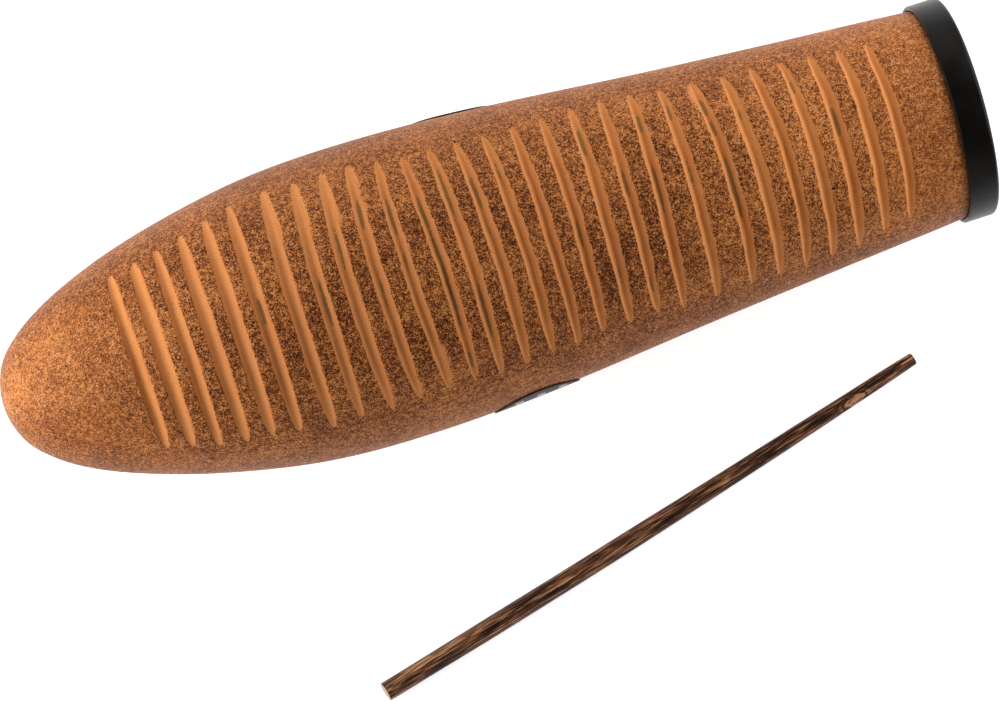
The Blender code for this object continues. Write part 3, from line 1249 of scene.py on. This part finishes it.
@dataclass
class SideLabel:
    """Thin oval printed label laid on the shell's side."""

    form: GourdForm
    node: str
    side: int
    station: float = 0.2045
    half: Pair = (0.0185, 0.0168)
    drop: float = 0.0037
    thick: float = 0.00045

    def build(self) -> bpy.types.Object:
        """Makes the label.

        Returns:
            The finished piece.
        """
        bm = bmesh.new()
        spoke = [bm.verts.new((i / 10, 0, 0)) for i in range(11)]
        edges = [bm.edges.new(pair) for pair in zip(spoke, spoke[1:])]
        bmesh.ops.spin(bm, geom=edges, cent=(0, 0, 0), axis=(0, 0, 1), angle=2 * math.pi, steps=72)
        bmesh.ops.remove_doubles(bm, verts=bm.verts[:], dist=1e-4)
        places = np.array([v.co for v in bm.verts])
        station = self.station + places[:, 0] * self.half[0]
        height = -self.drop + places[:, 1] * self.half[1]
        radius = self.form.radius(station) + 0.00016
        across = self.side * np.sqrt(radius**2 - height**2)
        laid = self.form.lay(np.stack([station, across, height], axis=1))
        for vert, co in zip(bm.verts, laid):
            vert.co = co
        outward = Vector((0, self.side, 0))
        bmesh.ops.recalc_face_normals(bm, faces=bm.faces[:])
        if sum(f.normal.dot(outward) for f in bm.faces) < 0:
            bmesh.ops.reverse_faces(bm, faces=bm.faces[:])
        sheet = bm.faces[:]
        lifted = bmesh.ops.extrude_face_region(bm, geom=sheet, use_keep_orig=True)
        top = [g for g in lifted["geom"] if isinstance(g, bmesh.types.BMVert)]
        normal_of = {v: v.normal.copy() for v in top}
        for vert in top:
            vert.co += normal_of[vert] * self.thick
        close_up(bm, 1e-7)
        label = make_object(self.node + "_print", bm, [PrintedLabel().build()], 50.0)
        place = self.form.unlay(points_of(label.data))
        uv = np.zeros((len(place), 3))
        uv[:, 0] = -self.side * (place[:, 0] - self.station) / self.half[0]
        uv[:, 1] = (place[:, 2] + self.drop) / self.half[1]
        store_numbers(label.data, "print", uv)
        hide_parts(self.node)
        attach(label, Body.GUIRO.value)
        return label


@dataclass
class Scraper:
    """Loose tapered stick of dark palm wood, lying on the floor."""

    start: Pair = (-0.0954, -0.1055)
    heading: float = math.radians(14.55)
    lean: float = math.radians(0.35)
    length: float = 0.2570
    bow: float = 0.0007
    slant: float = 0.16
    profile_mm: Knots = (
        (0.0, 4.1), (0.35, 4.2), (0.60, 3.8), (0.80, 3.3), (0.93, 2.95), (1.0, 2.6),
    )

    def radius(self, share: float) -> float:
        """Radius at a share of the length from the thick end."""
        knots = [k for k, _ in self.profile_mm]
        return float(np.interp(share, knots, [r for _, r in self.profile_mm])) * MM

    def build(self) -> bpy.types.Object:
        """Makes the scraper.

        Returns:
            The finished piece.
        """
        bm = bmesh.new()
        thick, thin = self.radius(0), self.radius(1)
        shares = np.linspace(0, 1, 46)
        points = [(0.0, 0.0), (0.0, thick * 0.55), (0.0, thick - 0.0006), (0.00015, thick - 0.0002)]
        points += [(0.0006 + s * (self.length - 0.0012), self.radius(s)) for s in shares]
        points += [(self.length - 0.00015, thin - 0.0003), (self.length, thin - 0.0007)]
        points += [(self.length, thin * 0.5), (self.length, 0.0)]
        turn_about_x(bm, profile_edges(bm, points), 360, 40)
        close_up(bm)
        stick = make_object("palm_stick", bm, [PalmWood().build()], 50.0)
        mesh = stick.data
        straight = points_of(mesh)
        s, y, z = straight.T
        share = s / self.length
        angle = np.arctan2(y, z)
        # hand-shaved: faint long flats and a slow ripple
        ripple = 1 + 0.014 * np.sin(3 * angle + 6 * share) + 0.012 * np.sin(23 * share + 2 * angle)
        y, z = y * ripple, z * ripple
        store_numbers(mesh, "grain", np.stack([y, z, s], axis=1))
        store_numbers(mesh, "end", ((share < 1e-4) | (share > 1 - 1e-4)).astype(float))
        s = s + self.slant * (z + self.radius(0)) * np.clip(1 - share / 0.02, 0, 1)
        y = y - self.bow * (np.sin(math.pi * share) - 0.5) * 1.6
        turn = Matrix.Rotation(self.heading, 4, "Z") @ Matrix.Rotation(self.lean, 4, "Y")
        laid = np.stack([s, y, z], axis=1) @ np.array(turn)[:3, :3].T
        laid[:, 0] += self.start[0]
        laid[:, 1] += self.start[1]
        laid[:, 2] -= laid[:, 2].min()
        mesh.vertices.foreach_set("co", laid.ravel())
        mesh.update()
        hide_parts("scraper")
        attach(stick, Body.SCRAPER.value)
        return stick


# ---- Studio ----


@dataclass(frozen=True)
class LightWall:
    """One upright white wall of the light tent."""

    name: str
    place: Triple
    size: Pair
    power: float
    aim: Triple = (0.0, 0.0, 0.06)

    def build(self) -> None:
        """Sets the light up."""
        data = bpy.data.lights.new(self.name, "AREA")
        data.shape = "RECTANGLE"
        data.size, data.size_y = self.size
        data.energy = self.power
        light = bpy.data.objects.new(self.name, data)
        light.location = self.place
        away = Vector(self.place) - Vector(self.aim)
        light.rotation_mode = "QUATERNION"
        light.rotation_quaternion = away.to_track_quat("Z", "Y")
        bpy.context.scene.collection.objects.link(light)


@dataclass
class Studio:
    """Pale floor, soft boxes, a pale surround and the camera."""

    camera_place: Triple = (-0.0438, -0.0986, 2.0537)
    elevation: float = 86.693
    heading: float = 17.717
    lens: float = 180.0
    walls: tuple[LightWall, ...] = (
        LightWall("left wall", (-0.56, 0.10, 0.30), (0.8, 0.5), 5.4),
        LightWall("right wall", (0.58, 0.10, 0.30), (0.8, 0.5), 4.6),
        LightWall("back wall", (0.0, 0.80, 0.38), (1.0, 0.6), 2.3),
        LightWall("front wall", (-0.1, -0.95, 0.38), (1.2, 0.6), 1.5),
    )

    def floor(self) -> None:
        """Lays the floor, which isn't part of the object."""
        bm = bmesh.new()
        bmesh.ops.create_grid(bm, x_segments=2, y_segments=2, size=6.0)
        bmesh.ops.translate(bm, vec=(0, 0, -0.00015), verts=bm.verts[:])
        floor = make_object("floor", bm, [PaleFloor().build()])

    def surround(self) -> None:
        """Sets the even light of the pale room."""
        world = bpy.data.worlds.new("pale room")
        world.use_nodes = True
        background = world.node_tree.nodes["Background"]
        background.inputs["Color"].default_value = (1.0, 1.0, 1.0, 1.0)
        background.inputs["Strength"].default_value = 0.05
        bpy.context.scene.world = world
        settings = bpy.context.scene.view_settings
        settings.view_transform = "Standard"
        settings.look = "None"

    def camera(self) -> None:
        """Sets the camera, almost straight above."""
        data = bpy.data.cameras.new("camera")
        data.lens = self.lens
        data.sensor_width = 36.0
        data.clip_start, data.clip_end = 0.05, 30.0
        camera = bpy.data.objects.new("camera", data)
        camera.location = self.camera_place
        camera.rotation_euler = math.radians(90 - self.elevation), 0.0, -math.radians(self.heading)
        bpy.context.scene.collection.objects.link(camera)
        bpy.context.scene.camera = camera

    def build(self) -> None:
        """Sets up everything round the object."""
        self.floor()
        self.surround()
        for wall in self.walls:
            wall.build()
        self.camera()


def main() -> None:
    """Builds the instrument, its scraper and the studio."""
    logging.basicConfig(level=logging.INFO, format="%(name)s: %(message)s")
    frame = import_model()
    LOG.info("frame: %s", ", ".join(sorted(frame["nodes"])))
    form = GourdForm()
    pieces = [
        Shell(form, GrooveCutting(form)).build(),
        RimRing(form).build(),
        SideLabel(form, "label_left", 1, drop=0.0115).build(),
        SideLabel(form, "label_right", -1).build(),
        Scraper().build(),
    ]
    for piece in pieces:
        LOG.info("%s: %d faces", piece.name, len(piece.data.polygons))
    Studio().build()
    bpy.context.view_layer.update()


if __name__ == "__main__":
    main()
